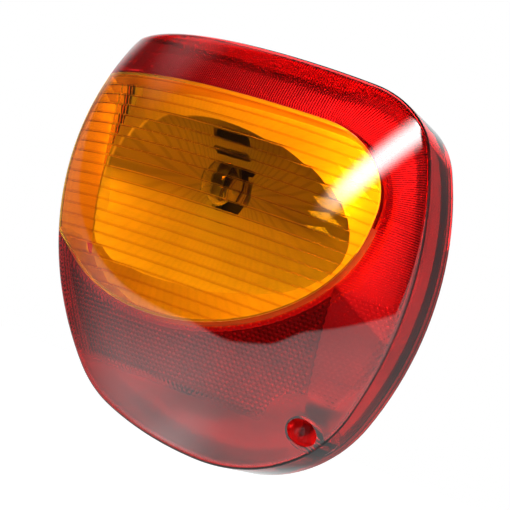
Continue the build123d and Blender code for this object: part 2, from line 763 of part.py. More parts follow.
# Seal round the carrier opening
with BuildPart() as carrier_seal:
    extrude(carrier_outline(CARRIER_FRONT, CARRIER_SEAL_INSET), amount=CARRIER_SEAL_THICK)
    extrude(
        carrier_outline(CARRIER_FRONT + CUT, CARRIER_LAP),
        amount=CARRIER_SEAL_THICK + 2 * CUT,
        mode=Mode.SUBTRACT,
    )
carrier_seal.part.label = "carrier_seal"
export_step(carrier_seal.part, "parts/carrier_seal.step")


def conductor(runs, pins, pin_front, blade_u):
    """Flat conductor with its pins towards the bulb and its blade in the plug socket."""
    with BuildPart() as strip:
        for run in runs:
            extrude(run_bars(STRIP_FRONT, run, STRIP_WIDE), amount=-STRIP_THICK)
        for pin_u, pin_w in pins:
            extrude(
                round_at(STRIP_FRONT, pin_u, pin_w, FEED_PIN_RADIUS), amount=STRIP_FRONT - pin_front
            )
        extrude(
            bar_at(STRIP_FRONT, blade_u, PLUG_W, BLADE_THICK, BLADE_WIDE),
            amount=-(BLADE_END - STRIP_FRONT),
        )
    return strip.part


CONTACT_BACK = CAP_BACK + CONTACT_THICK
indicator_feed_strip = conductor([INDICATOR_RUN], FEEDS[:1], CONTACT_BACK, BLADE_U[0])
indicator_feed_strip.label = "indicator_feed_strip"
export_step(indicator_feed_strip, "parts/indicator_feed_strip.step")
tail_feed_strip = conductor([TAIL_RUN], FEEDS[1:2], CONTACT_BACK, BLADE_U[1])
tail_feed_strip.label = "tail_feed_strip"
export_step(tail_feed_strip, "parts/tail_feed_strip.step")
stop_feed_strip = conductor([BRAKE_RUN], FEEDS[2:], CONTACT_BACK, BLADE_U[2])
stop_feed_strip.label = "stop_feed_strip"
export_step(stop_feed_strip, "parts/stop_feed_strip.step")
earth_strip = conductor([EARTH_UP, EARTH_DOWN], EARTHS, CARRIER_FRONT, BLADE_U[3])
earth_strip.label = "earth_strip"
export_step(earth_strip, "parts/earth_strip.step")


def socket_sleeve(u, w):
    """Bayonet sleeve with two slots for the pins of the bulb."""
    with BuildPart() as sleeve:
        extrude(round_at(CARRIER_FRONT, u, w, SLEEVE_RADIUS), amount=CARRIER_FRONT - SLEEVE_FRONT)
        extrude(
            round_at(CARRIER_FRONT + CUT, u, w, SLEEVE_RADIUS - SLEEVE_WALL),
            amount=CARRIER_FRONT - SLEEVE_FRONT + 2 * CUT,
            mode=Mode.SUBTRACT,
        )
        slot_half = PIN_RADIUS + SLOT_GAP
        extrude(
            bar_at(PIN_Y + slot_half, u, w, 2 * (SLEEVE_RADIUS + CUT), 2 * slot_half),
            amount=SLOT_LENGTH,
            mode=Mode.SUBTRACT,
        )
    return sleeve.part


def bulb_glass(u, w):
    """Pear shaped glass, open at its neck."""
    tip_y = CAP_FRONT - GLASS_LENGTH
    centre_y = tip_y + GLASS_RADIUS
    with BuildPart() as glass:
        with BuildSketch(Plane((AXIS_X + u, 0, AXIS_Z + w), (1, 0, 0), (0, 0, 1))):
            with BuildLine():
                Spline(
                    (GLASS_NECK, CAP_FRONT),
                    (GLASS_RADIUS, centre_y),
                    tangents=((0, -1), (0, -1)),
                )
                RadiusArc((GLASS_RADIUS, centre_y), (0, tip_y), GLASS_RADIUS)
                Line((0, tip_y), (0, tip_y + GLASS_WALL))
                RadiusArc(
                    (0, tip_y + GLASS_WALL),
                    (GLASS_RADIUS - GLASS_WALL, centre_y),
                    GLASS_WALL - GLASS_RADIUS,
                )
                Spline(
                    (GLASS_RADIUS - GLASS_WALL, centre_y),
                    (GLASS_NECK - GLASS_WALL, CAP_FRONT),
                    tangents=((0, 1), (0, 1)),
                )
                Line((GLASS_NECK - GLASS_WALL, CAP_FRONT), (GLASS_NECK, CAP_FRONT))
            make_face()
        revolve(axis=Axis((AXIS_X + u, 0, AXIS_Z + w), (0, 1, 0)))
    return glass.part


def bulb_cap(u, w):
    """Brass bulb cap with two bayonet pins."""
    with BuildPart() as cap:
        extrude(round_at(CAP_BACK, u, w, CAP_RADIUS), amount=CAP_LENGTH)
        fillet(cap.faces().sort_by(Axis.Y)[-1].edges(), CAP_ROLL)
        extrude(
            round_at(CAP_FRONT + CAP_LIP, u, w, CAP_RADIUS - CAP_WALL),
            amount=CAP_LENGTH,
            mode=Mode.SUBTRACT,
        )
        with BuildSketch(Plane((AXIS_X + u, PIN_Y, AXIS_Z + w), (0, 1, 0), (1, 0, 0))):
            Circle(PIN_RADIUS)
        extrude(amount=PIN_REACH, both=True)
    return cap.part


def bulb_filaments(u, w, lifts):
    """Lead wires, glass bead and coils, one coil per lift above the bulb axis."""
    bead_front = CAP_FRONT + CAP_LIP - GLASS_BEAD_LENGTH
    lead_foot = bead_front + LEAD_SUNK
    with BuildPart() as filaments:
        extrude(round_at(CAP_FRONT + CAP_LIP, u, w, GLASS_BEAD_RADIUS), amount=GLASS_BEAD_LENGTH)
        fillet(filaments.faces().sort_by(Axis.Y)[0].edges(), GLASS_BEAD_ROLL)
        for lift in lifts:
            for side in (-LEAD_HALF, LEAD_HALF):
                extrude(
                    round_at(lead_foot, u + side, w + lift, LEAD_RADIUS),
                    amount=lead_foot - FILAMENT_Y - LEAD_RADIUS,
                )
            with BuildSketch(
                Plane((AXIS_X + u, FILAMENT_Y, AXIS_Z + w + lift), (0, 1, 0), (1, 0, 0))
            ):
                Circle(2 * LEAD_RADIUS)
            extrude(amount=FILAMENT_HALF, both=True)
    return filaments.part


def bulb_contacts(points):
    """Solder contacts at the back of a bulb cap."""
    with BuildPart() as contacts:
        for contact_u, contact_w in points:
            extrude(round_at(CAP_BACK, contact_u, contact_w, CONTACT_RADIUS), amount=-CONTACT_THICK)
    return contacts.part


BULBS = (
    ("indicator", INDICATOR_U, INDICATOR_W, (0,), FEEDS[:1]),
    ("stop", STOP_U, STOP_W, (-FILAMENT_LIFT, FILAMENT_LIFT), FEEDS[1:]),
)
for name, bulb_u, bulb_w, lifts, contacts in BULBS:
    sleeve = socket_sleeve(bulb_u, bulb_w)
    sleeve.label = name + "_socket_sleeve"
    export_step(sleeve, "parts/" + name + "_socket_sleeve.step")
    glass = bulb_glass(bulb_u, bulb_w)
    glass.label = name + "_bulb_glass"
    export_step(glass, "parts/" + name + "_bulb_glass.step")
    cap = bulb_cap(bulb_u, bulb_w)
    cap.label = name + "_bulb_cap"
    export_step(cap, "parts/" + name + "_bulb_cap.step")
    filaments = bulb_filaments(bulb_u, bulb_w, lifts)
    filaments.label = name + "_bulb_filament"
    export_step(filaments, "parts/" + name + "_bulb_filament.step")
    dots = bulb_contacts(contacts)
    dots.label = name + "_bulb_contact"
    export_step(dots, "parts/" + name + "_bulb_contact.step")
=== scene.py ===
import math

import bmesh
import bpy
from mathutils import Matrix, Vector
from mathutils.bvhtree import BVHTree


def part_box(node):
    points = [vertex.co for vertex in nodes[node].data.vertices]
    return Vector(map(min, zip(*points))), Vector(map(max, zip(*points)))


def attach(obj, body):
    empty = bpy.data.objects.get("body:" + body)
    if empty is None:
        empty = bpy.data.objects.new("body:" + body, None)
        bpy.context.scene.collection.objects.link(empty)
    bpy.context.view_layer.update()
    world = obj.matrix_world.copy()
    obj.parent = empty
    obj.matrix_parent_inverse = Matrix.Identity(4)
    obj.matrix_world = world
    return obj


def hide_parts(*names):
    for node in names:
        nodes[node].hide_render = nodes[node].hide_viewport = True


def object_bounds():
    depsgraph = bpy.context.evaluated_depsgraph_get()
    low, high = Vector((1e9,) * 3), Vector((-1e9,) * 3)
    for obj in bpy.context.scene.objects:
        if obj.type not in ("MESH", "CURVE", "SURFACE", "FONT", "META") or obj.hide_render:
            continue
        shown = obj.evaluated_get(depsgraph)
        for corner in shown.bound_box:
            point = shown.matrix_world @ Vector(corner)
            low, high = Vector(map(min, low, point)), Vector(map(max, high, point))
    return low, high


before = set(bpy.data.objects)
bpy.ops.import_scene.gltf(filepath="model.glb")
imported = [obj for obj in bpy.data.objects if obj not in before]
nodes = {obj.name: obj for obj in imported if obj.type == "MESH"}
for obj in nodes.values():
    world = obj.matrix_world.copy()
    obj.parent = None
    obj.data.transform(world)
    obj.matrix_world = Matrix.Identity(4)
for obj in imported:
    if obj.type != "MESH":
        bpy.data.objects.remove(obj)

cad_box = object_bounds()
MM = 0.001

# Lens form, as the part has it, about the axis that its crown is turned on
AXIS_X = -89 * MM
AXIS_Z = 99 * MM
FRONT_Y = -97 * MM
PLAN_RADIUS = 180 * MM
SIDE_RADIUS = 230 * MM
REVOLVE_Y = FRONT_Y + PLAN_RADIUS
LENS_WALL = 2.5 * MM
WELD_GAP = 0.1 * MM

# Amber window, whose low border leaves its ellipse in a straight end
WINDOW_TOP = 69.5 * MM
WINDOW_RIGHT = 95.5 * MM
WINDOW_CORNER = 43 * MM
WINDOW_CENTRE = (AXIS_X - 10.5 * MM, AXIS_Z + 20 * MM)
WINDOW_HALF = (106 * MM, 85.5 * MM)
WINDOW_LEAVES = math.radians(235)
LEAVES_X = WINDOW_CENTRE[0] + WINDOW_HALF[0] * math.cos(WINDOW_LEAVES)
LEAVES_Z = WINDOW_CENTRE[1] + WINDOW_HALF[1] * math.sin(WINDOW_LEAVES)
WINDOW_SLOPE = WINDOW_HALF[1] / (WINDOW_HALF[0] * math.tan(WINDOW_LEAVES))
WINDOW_LOW = LEAVES_Z + WINDOW_SLOPE * LEAVES_X

# Flutes inside the window and the beads between them
FLUTE_PITCH = 6.5 * MM
FLUTE_COUNT = 22
FLUTE_LIFT = 3 * MM
FLUTE_COVER = 0.8 * MM
FLUTE_LOW = WINDOW_TOP - FLUTE_COUNT * FLUTE_PITCH + FLUTE_LIFT
FLUTE_DEPTH = LENS_WALL + FLUTE_COVER
BEAD_WIDE = 1.1 * MM
BEAD_RISE = 0.28 * MM

# Rises of the curves by which flutes and beads bend light
FLUTE_LOOK = 0.04 * MM
BEAD_LOOK = 0.09 * MM

# Reflex plate and its pins
PLATE_LOW, PLATE_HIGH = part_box("reflex_plate")
PLATE_FRONT = LENS_WALL + WELD_GAP
PLATE_THICK = 2.2 * MM
# Heights over which painted shade darkens the reflex plate towards its top
PLATE_PAINTED_SHADE_HEIGHTS = (10 * MM, 55 * MM)
PIN_PITCH = 2.8 * MM
PIN_RADIUS = 1.45 * MM
PIN_TIP = 0.25 * MM
PIN_HEIGHT = 1.1 * MM
PIN_SIDES = 6

# Reflector tray
BEZEL_DEPTH = 25 * MM
TRAY_WALL = 2 * MM
BULB_PLACE = (AXIS_X - 22 * MM, AXIS_Z + 24 * MM)
FAN_LINES = 90
# Heights over which painted shade comes in on the bowl above the bulb
BOWL_PAINTED_SHADE_LOW = AXIS_Z + 4 * MM
BOWL_PAINTED_SHADE_HIGH = AXIS_Z + 18 * MM

# Ribs inside the red lens
RIB_PITCH = 1.4 * MM
RIB_BEND = WINDOW_CORNER + 18 * MM
RIB_SHARE = 0.9
RELIEF = 0.2 * MM
RIBS_LOW = AXIS_Z - 20 * MM
RIBS_FADE = 6 * MM

# Orange rim and frosted collar along the low border of the window
RIM_RINGS = (0.985, 1.03)
RIM_LEFT = AXIS_X - 20 * MM
RIM_RIGHT = AXIS_X + 25 * MM
RIM_LOW = AXIS_Z + 5 * MM
RIM_HIGH = AXIS_Z + 30 * MM
COLLAR_RING = 0.08
COLLAR_LEFT = WINDOW_CENTRE[0] - 0.6 * WINDOW_HALF[0]
WELD_FROST = 0.35

# Amber tint of the rim behind the outer end of the window
OUTER_END = AXIS_X - 76 * MM
OUTER_FADE = 6 * MM
BORDER_FADE = 2 * MM

# Frosted foot of the red lens, which rises round the screw
FOOT_SLOPE = 1.6
FOOT_LOW = PLATE_LOW.z - 5 * MM
FOOT_HIGH = PLATE_LOW.z + 1 * MM
FOOT_FROST = 0.3
SCREW_CLEAR = 20 * MM
SCREW_FADE = 5 * MM

# Painted shade in the corner beside the reflex plate, below a slanting line, in two steps of height
CORNER_SLOPE = 0.694
CORNER_TOP = 80 * MM
CORNER_FADE = 3 * MM
CORNER_LEFT = PLATE_HIGH.x - 0.5 * MM
CORNER_START = PLATE_HIGH.x + 1 * MM
LOWER_SHADE = 0.55
LOWER_HEIGHTS = (16 * MM, 34 * MM)
UPPER_SHADE = 0.33
UPPER_HEIGHTS = (40 * MM, 62 * MM)

# View of the lamp
AZIMUTH = math.radians(26)
ELEVATION = math.radians(-4)
ROLL = math.radians(20)
DISTANCE = 0.85
TARGET = Vector((-0.05027, -0.07696, 0.08417))
FOCAL_MM = 107.37
SENSOR_MM = 36

# Meshes are split into smooth areas at edges sharper than this
SHARP_ANGLE = math.radians(28)

# How near a corner lies to a lens face, and how square to the crown the kinds of face are
ON_FACE = 0.012 * MM
NEAR_FACE = 0.05 * MM
INTO_FACE = 0.02
INNER_SQUARE = 0.9
CROWN_SQUARE = 0.8
WALL_SQUARE = 0.7
FLUTE_SQUARE = 0.5
JOIN_DISTANCE = 0.002 * MM


class Value:
    """Output of a shader node that can be used in sums."""

    def __init__(self, board, socket):
        self.board = board
        self.socket = socket

    def maths(self, operation, *terms):
        inputs = dict(enumerate(terms))
        return self.board.add("ShaderNodeMath", {"operation": operation}, inputs)

    def __add__(self, other):
        return self.maths("ADD", self, other)

    def __radd__(self, other):
        return self.maths("ADD", other, self)

    def __sub__(self, other):
        return self.maths("SUBTRACT", self, other)

    def __rsub__(self, other):
        return self.maths("SUBTRACT", other, self)

    def __mul__(self, other):
        return self.maths("MULTIPLY", self, other)

    def __rmul__(self, other):
        return self.maths("MULTIPLY", other, self)

    def __truediv__(self, other):
        return self.maths("DIVIDE", self, other)

    def __pow__(self, other):
        return self.maths("POWER", self, other)

    def __neg__(self):
        return self.maths("MULTIPLY", self, -1)

    def size(self):
        return self.maths("ABSOLUTE", self)

    def sine(self):
        return self.maths("SINE", self)

    def least(self, other):
        return self.maths("MINIMUM", self, other)

    def most(self, other):
        return self.maths("MAXIMUM", self, other)

    def angle_to(self, other):
        return self.maths("ARCTAN2", self, other)

    def step(self, low, high):
        """0 below low, 1 above high, and smooth between."""
        return self.board.add(
            "ShaderNodeMapRange",
            {"interpolation_type": "SMOOTHSTEP"},
            {"Value": self, "From Min": low, "From Max": high},
        )


class Board:
    """Node tree of a finish, with one method that adds any node."""

    def __init__(self, tree):
        self.tree = tree
        tree.nodes.clear()

    def add(self, kind, settings=None, inputs=None, output=0):
        node = self.tree.nodes.new(kind)
        for name, value in (settings or {}).items():
            setattr(node, name, value)
        for name, value in (inputs or {}).items():
            if isinstance(value, Value):
                self.tree.links.new(value.socket, node.inputs[name])
            else:
                node.inputs[name].default_value = value
        return Value(self, node.outputs[output]) if node.outputs else node

    def place(self):
        """Object coordinates, as a vector."""
        return self.add("ShaderNodeTexCoord", output="Object")

    def axes(self, vector):
        """The three numbers of a vector."""
        split = self.add("ShaderNodeSeparateXYZ", inputs={"Vector": vector})
        node = split.socket.node
        return [Value(self, node.outputs[k]) for k in range(3)]

    def noise(self, scale, detail=2.0, vector=None):
        """Cloudy value from 0 to 1, with scale in marks a metre."""
        inputs = {"Vector": vector or self.place(), "Scale": scale, "Detail": detail}
        return self.add("ShaderNodeTexNoise", None, inputs)

    def vector_maths(self, operation, first, second, output=0):
        inputs = {0: first, 1: second}
        return self.add("ShaderNodeVectorMath", {"operation": operation}, inputs, output)

    def along(self, vector, way):
        """How far a vector reaches along a way."""
        return self.vector_maths("DOT_PRODUCT", vector, way, "Value")

    def mix(self, factor, first, second):
        """Colour between two colours."""
        inputs = {"Factor": factor, 6: first, 7: second}
        return self.add("ShaderNodeMix", {"data_type": "RGBA"}, inputs, 2)

    def bump(self, height, depth, strength=1.0):
        """Direction of a surface with this height, which goes up to depth in metres."""
        inputs = {"Height": height, "Distance": depth, "Strength": strength}
        return self.add("ShaderNodeBump", None, inputs)

    def end(self, shader, kind="ShaderNodeOutputMaterial"):
        self.add(kind, None, {"Surface": shader})


def rgb(red, green, blue):
    return (red, green, blue, 1)


def finish(name, build):
    """Material whose nodes are laid by a function, which returns the inputs of its main shader."""
    material = bpy.data.materials.new(name)
    material.use_nodes = True
    board = Board(material.node_tree)
    board.end(board.add("ShaderNodeBsdfPrincipled", None, build(board)))
    return material


# Finishes
PLASTIC_IOR = 1.49
GLASS_IOR = 1.48


def clear_plastic(colour, deep):
    """Clear moulded plastic, with faint flow marks and a little wear in its polish."""

    def build(board):
        flow = board.noise(14, 3)
        wear = board.noise(420, 4)
        return {
            "Base Color": board.mix(flow.step(0.35, 0.7), colour, deep),
            "Roughness": 0.012 + 0.03 * wear.step(0.55, 0.8),
            "Transmission Weight": 1.0,
            "IOR": PLASTIC_IOR,
        }

    return build


def crown_depth(board):
    """Depth below the lens crown at a point of the surface, in metres."""
    x, y, z = board.axes(board.place())
    across = ((x - AXIS_X) ** 2 + (y - REVOLVE_Y) ** 2) ** 0.5
    reach = across + (SIDE_RADIUS - PLAN_RADIUS)
    return SIDE_RADIUS - (reach**2 + (z - AXIS_Z) ** 2) ** 0.5


def frosted_plastic(colour, deep):
    """Clear plastic that the weld has left dull."""

    def build(board):
        inputs = clear_plastic(colour, deep)(board)
        inputs["Roughness"] = inputs["Roughness"] + WELD_FROST
        return inputs

    return build


def fluted_amber(board):
    """Amber plastic, with painted shade in lines along the beads between its flutes."""
    inputs = clear_plastic(CLEAR_AMBER, DEEP_AMBER)(board)
    _, _, z = board.axes(board.place())
    # Painted shade along the beads between the flutes
    middle = AXIS_Z + FLUTE_LOW + BEAD_WIDE / 2 - FLUTE_PITCH / 4
    line = ((z - middle) * (2 * math.pi / FLUTE_PITCH)).sine().step(0.55, 1)
    inputs["Base Color"] = board.mix(line * 0.7, inputs["Base Color"], BEAD_PAINTED_SHADE)
    return inputs


def window_ring(x, z):
    """Place across the low border of the window: 1 on it, less above and more below."""
    across = (x - WINDOW_CENTRE[0]) / WINDOW_HALF[0]
    upward = (z - WINDOW_CENTRE[1]) / WINDOW_HALF[1]
    return (across**2 + upward**2) ** 0.5


def orange_rim(x, z):
    """1 along the low border of the window, where the collar lies behind."""
    ring = window_ring(x, z)
    inner, outer = RIM_RINGS
    band = ring.step(inner, inner + 0.01) * (1 - ring.step(outer, outer + 0.012))
    return band * x.step(RIM_LEFT, RIM_RIGHT) * (1 - z.step(RIM_LOW, RIM_HIGH))


def outer_end(x, z):
    """1 on the rim behind the outer end of the window."""
    top = AXIS_Z + WINDOW_TOP
    beside = 1 - x.step(OUTER_END, OUTER_END + OUTER_FADE)
    above = (z + WINDOW_SLOPE * x).step(WINDOW_LOW, WINDOW_LOW + BORDER_FADE)
    return beside * above * (1 - z.step(top - BORDER_FADE, top))


def dotted_part(x, z):
    """1 on the dotted part of the lens, clear of its foot and of the screw."""
    above_foot = (z - FOOT_SLOPE * x.most(0)).step(FOOT_LOW, FOOT_HIGH)
    from_screw = (x**2 + z**2) ** 0.5
    return above_foot * from_screw.step(SCREW_CLEAR, SCREW_CLEAR + SCREW_FADE)


def corner_painted_shade(x, z):
    """Painted shade beside the reflex plate, which fades towards the screw."""
    beside = x.step(CORNER_LEFT, CORNER_START)
    below = 1 - (z + CORNER_SLOPE * x).step(CORNER_TOP, CORNER_TOP + CORNER_FADE)
    shade = LOWER_SHADE * z.step(*LOWER_HEIGHTS) + UPPER_SHADE * z.step(*UPPER_HEIGHTS)
    return beside * below * shade


def clear_red(board):
    """Red plastic, orange along the low border of the window and amber behind its outer end."""
    x, _, z = board.axes(board.place())
    inputs = clear_plastic(CLEAR_RED, DEEP_RED)(board)
    red = board.mix(1 - dotted_part(x, z), inputs["Base Color"], FOOT_RED)
    red = board.mix(orange_rim(x, z), red, RIM_ORANGE)
    inputs["Base Color"] = board.mix(outer_end(x, z), red, CLEAR_AMBER)
    return inputs


def rib_way(board):
    """Length along the window's border, so that ribs stand square to it."""
    x, _, z = board.axes(board.place())
    past = x - (AXIS_X + WINDOW_RIGHT - WINDOW_CORNER)
    over = z - (AXIS_Z + WINDOW_TOP - WINDOW_CORNER)
    turn = past.most(0).angle_to(over.most(0.5 * MM))
    return past.least(0) + turn * RIB_BEND - over.least(0)


def pin_rows(board):
    """Close rows of round dots over the lower part of the lens, from -1 to 1."""
    x, _, z = board.axes(board.place())
    turn = 4 * math.pi / (math.sqrt(3) * PIN_PITCH)
    waves = [
        ((x * math.sin(angle) + z * math.cos(angle)) * turn).sine()
        for angle in (0, 2 * math.pi / 3, 4 * math.pi / 3)
    ]
    return (waves[0] + waves[1] + waves[2]) * 0.4


def ribbed_red(board):
    """Inside of the red lens: fine ribs square to the window's border, dots below it, frosted lowest;
    painted shade with painted glints on the dots below the ribs, and painted shade in the corner beside
    the reflex plate.
    """
    x, _, z = board.axes(board.place())
    rib = (rib_way(board) * (2 * math.pi / RIB_PITCH)).sine() * RIB_SHARE
    ribbed = z.step(RIBS_LOW, RIBS_LOW + RIBS_FADE)
    dotted = dotted_part(x, z)
    pins = pin_rows(board) * dotted
    inputs = clear_red(board)
    # Painted shade below the ribs, with the dots left brighter as painted glints
    painted_shade_and_glints = board.mix(0.25 + 0.75 * pins.step(0.1, 0.8), REFLEX_PAINTED_SHADE, inputs["Base Color"])
    red = board.mix(ribbed, painted_shade_and_glints, inputs["Base Color"])
    # Painted shade in the corner beside the reflex plate
    inputs["Base Color"] = board.mix(corner_painted_shade(x, z) * dotted, red, CORNER_PAINTED_SHADE)
    inputs["Roughness"] = inputs["Roughness"] + FOOT_FROST * (1 - dotted)
    inputs["Normal"] = board.bump(rib * ribbed + pins * (1 - ribbed), RELIEF)
    return inputs


def reflex_red(board):
    """Pinned reflex plate, with painted shade: very dark red above, lighter towards its low edge."""
    shade = board.noise(60, 3).step(0.3, 0.7)
    _, _, z = board.axes(board.place())
    # Painted shade: the plate is darker above than towards its low edge
    low = board.mix(shade, rgb(0.42, 0.015, 0.022), rgb(0.32, 0.011, 0.016))
    high = board.mix(shade, rgb(0.17, 0.006, 0.010), rgb(0.11, 0.004, 0.007))
    return {
        "Base Color": board.mix(z.step(*PLATE_PAINTED_SHADE_HEIGHTS), low, high),
        "Roughness": 0.12 + 0.08 * board.noise(900, 2),
        "IOR": PLASTIC_IOR,
    }


def fan_lines(board):
    """Fine lines that spread from the bulb over its bowl, from -1 to 1."""
    x, _, z = board.axes(board.place())
    angle = (z - BULB_PLACE[1]).angle_to(x - BULB_PLACE[0])
    return (angle * FAN_LINES).sine()


def metallised(board):
    """Vacuum-metallised plastic with fine fan lines, clouded, and with painted shade over the bowl above
    the bulb.
    """
    cloud = board.noise(35, 4)
    fan = fan_lines(board)
    _, _, z = board.axes(board.place())
    bowl = crown_depth(board).step(BEZEL_DEPTH + 0.5 * MM, BEZEL_DEPTH + 2 * MM)
    # Painted shade: the bowl above the bulb is painted darker, and its fan lines are painted deeper
    # there
    bowl_painted_shade = bowl * z.step(BOWL_PAINTED_SHADE_LOW, BOWL_PAINTED_SHADE_HIGH)
    bright = board.mix(cloud.step(0.3, 0.75), rgb(0.80, 0.79, 0.77), rgb(0.70, 0.69, 0.67))
    bowl_with_painted_shade = board.mix(bowl_painted_shade * 0.75, bright, rgb(0.2, 0.19, 0.18))
    lines = fan.step(0.2, 0.9) * (0.06 + 0.2 * bowl_painted_shade)
    return {
        "Base Color": board.mix(lines, bowl_with_painted_shade, rgb(0.1, 0.1, 0.09)),
        "Metallic": 0.5,
        "Roughness": 0.3 + 0.12 * cloud,
        "Normal": board.bump(fan, 0.025 * MM),
    }


def black_moulding(board):
    """Black plastic with a fine moulded grain and pale handling marks."""
    grain = board.noise(1400, 3)
    marks = board.noise(45, 5).step(0.58, 0.75)
    return {
        "Base Color": board.mix(marks * 0.5, rgb(0.022, 0.022, 0.024), rgb(0.06, 0.06, 0.062)),
        "Roughness": 0.42 + 0.18 * grain + 0.08 * marks,
        "Normal": board.bump(grain, 0.05 * MM),
    }


def grey_moulding(board):
    """Grey housing plastic, satin with faint flow marks."""
    flow = board.noise(25, 4)
    grain = board.noise(1800, 2)
    return {
        "Base Color": board.mix(flow, rgb(0.30, 0.31, 0.32), rgb(0.37, 0.38, 0.385)),
        "Roughness": 0.38 + 0.15 * grain,
        "Normal": board.bump(grain, 0.03 * MM),
    }


def foam(board):
    """Closed-cell foam gasket with open pores on its cut faces."""
    pores = board.add("ShaderNodeTexVoronoi", None, {"Vector": board.place(), "Scale": 1400.0})
    cell = pores.step(0.1, 0.5)
    return {
        # The pores are painted darker: painted shade in them
        "Base Color": board.mix(cell, rgb(0.006, 0.006, 0.007), rgb(0.03, 0.03, 0.031)),
        "Roughness": 0.9,
        "Normal": board.bump(cell, 0.25 * MM),
    }


def sealant(board):
    """Black bead of sealant, softly uneven."""
    wave = board.noise(220, 3)
    return {
        "Base Color": board.mix(wave, rgb(0.012, 0.012, 0.013), rgb(0.03, 0.03, 0.03)),
        "Roughness": 0.35 + 0.25 * wave,
        "Normal": board.bump(wave, 0.15 * MM),
    }


def bare_metal(light, dark, rough):
    """Stamped or drawn metal with faint tarnish and drawing lines."""

    def build(board):
        stretched = board.vector_maths("MULTIPLY", board.place(), (4000, 160, 160))
        drawn = board.noise(1.0, 2, stretched)
        tarnish = board.noise(130, 4)
        return {
            "Base Color": board.mix(tarnish.step(0.4, 0.75), light, dark),
            "Metallic": 1.0,
            "Roughness": rough + 0.12 * tarnish,
            "Normal": board.bump(drawn, 0.01 * MM),
        }

    return build


def clear_glass(board):
    """Thin clear glass of a bulb, with a trace of dust."""
    dust = board.noise(300, 4)
    return {
        "Base Color": board.mix(dust, rgb(1, 1, 1), rgb(0.93, 0.94, 0.94)),
        "Roughness": 0.01 + 0.02 * dust,
        "Transmission Weight": 1.0,
        "IOR": GLASS_IOR,
    }


# Colours of the plastics, and the finish of each kind of piece
CLEAR_RED = rgb(0.69, 0.013, 0.014)
DEEP_RED = rgb(0.63, 0.010, 0.012)
# Painted shade for the inside of the red lens below the ribs
REFLEX_PAINTED_SHADE = rgb(0.40, 0.003, 0.006)
RIM_ORANGE = rgb(1.0, 0.14, 0.008)
COLLAR_ORANGE = rgb(1.0, 0.06, 0.004)
FOOT_RED = rgb(0.88, 0.020, 0.021)
# Painted shade for the corner beside the reflex plate
CORNER_PAINTED_SHADE = rgb(0.12, 0.001, 0.002)
CLEAR_AMBER = rgb(1.0, 0.45, 0.003)
DEEP_AMBER = rgb(0.98, 0.41, 0.002)
# Painted shade for the beads between the flutes
BEAD_PAINTED_SHADE = rgb(0.78, 0.24, 0.001)
RED = finish("clear_red", clear_red)
RED_RIBBED = finish("clear_red_ribbed", ribbed_red)
RED_COLLAR = finish("frosted_collar", frosted_plastic(COLLAR_ORANGE, RIM_ORANGE))
AMBER = finish("clear_amber", fluted_amber)
AMBER_WALL = finish("frosted_amber", frosted_plastic(CLEAR_AMBER, DEEP_AMBER))
REFLEX = finish("reflex_red", reflex_red)
METALLISED = finish("metallised", metallised)
BLACK = finish("black_moulding", black_moulding)
GREY = finish("grey_moulding", grey_moulding)
FOAM = finish("gasket_foam", foam)
SEALANT = finish("sealant", sealant)
STRIP_BRASS = finish("strip_brass", bare_metal(rgb(0.78, 0.55, 0.24), rgb(0.55, 0.36, 0.15), 0.26))
CAP_BRASS = finish("cap_brass", bare_metal(rgb(0.80, 0.62, 0.32), rgb(0.6, 0.43, 0.2), 0.3))
SLEEVE_STEEL = finish("sleeve_steel", bare_metal(rgb(0.66, 0.66, 0.67), rgb(0.5, 0.5, 0.5), 0.28))
WIRE = finish("filament_wire", bare_metal(rgb(0.42, 0.42, 0.44), rgb(0.25, 0.25, 0.26), 0.35))
SOLDER = finish("solder", bare_metal(rgb(0.6, 0.61, 0.63), rgb(0.42, 0.43, 0.45), 0.4))
GLASS = finish("bulb_glass", clear_glass)

NODE_FINISHES = {
    "lens_seal": SEALANT,
    "housing": GREY,
    "body_gasket": FOAM,
    "indicator_reflector": METALLISED,
    "stop_reflector": METALLISED,
    "bulb_carrier": BLACK,
    "carrier_seal": SEALANT,
    "indicator_feed_strip": STRIP_BRASS,
    "tail_feed_strip": STRIP_BRASS,
    "stop_feed_strip": STRIP_BRASS,
    "earth_strip": STRIP_BRASS,
    "indicator_socket_sleeve": SLEEVE_STEEL,
    "indicator_bulb_glass": GLASS,
    "indicator_bulb_cap": CAP_BRASS,
    "indicator_bulb_filament": WIRE,
    "indicator_bulb_contact": SOLDER,
    "stop_socket_sleeve": SLEEVE_STEEL,
    "stop_bulb_glass": GLASS,
    "stop_bulb_cap": CAP_BRASS,
    "stop_bulb_filament": WIRE,
    "stop_bulb_contact": SOLDER,
}


# True directions of the lens faces
def crown_at(point):
    """Depth below the lens crown at a point, and the crown's outward direction there."""
    across = Vector((point.x - AXIS_X, point.y - REVOLVE_Y, 0))
    reach = across.length + SIDE_RADIUS - PLAN_RADIUS
    outward = across.normalized() * reach + Vector((0, 0, point.z - AXIS_Z))
    return SIDE_RADIUS - outward.length, outward.normalized()


def crown_mark(depth, height):
    """Distance from the axis of the crown at a depth and a height."""
    reach = math.sqrt((SIDE_RADIUS - depth) ** 2 - height**2)
    return Vector((PLAN_RADIUS - SIDE_RADIUS + reach, height))


